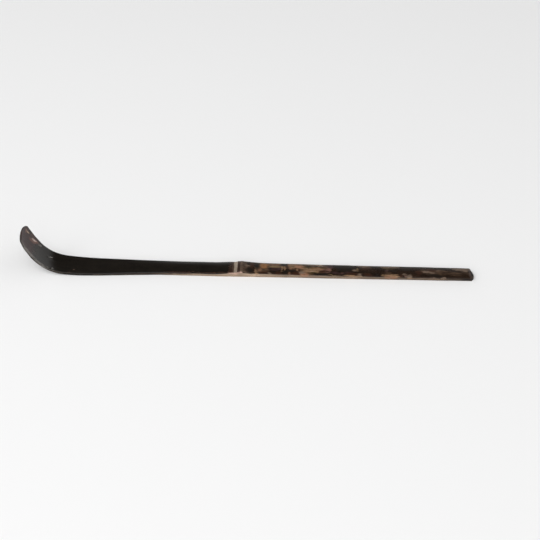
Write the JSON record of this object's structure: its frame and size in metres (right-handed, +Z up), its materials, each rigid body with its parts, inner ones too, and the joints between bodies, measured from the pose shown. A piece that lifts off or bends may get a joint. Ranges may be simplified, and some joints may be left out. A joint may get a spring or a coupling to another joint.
{
  "type": "tea scoop",
  "caption": "Slender bamboo tea scoop: a flat tapering handle with a raised node, and a widened end bent up into a small bowl that lifts powdered tea.",
  "frame": {"origin": "centre of the scoop's bounding box, on the plane of its flat planed back", "axes": "+X along the scoop towards the cut end of the handle, so the bowl is at -X; +Y across it; +Z up, the way the dark face looks"},
  "size_m": [0.1796, 0.0114, 0.0183],
  "materials": {
    "dark_rind": "satin",
    "mottled_rind": "satin",
    "scar_ring": "matt",
    "node_ridge": "satin",
    "flesh": "matt"
  },
  "bodies": {
    "root": {"bowl_rind": "dark_rind", "bowl_flesh": "flesh", "shaft_rind": "dark_rind", "shaft_flesh": "flesh", "sheath_scar": "scar_ring", "node_ridge": "node_ridge", "node_flesh": "flesh", "handle_rind": "mottled_rind", "handle_flesh": "flesh"}
  },
  "joints": []
}
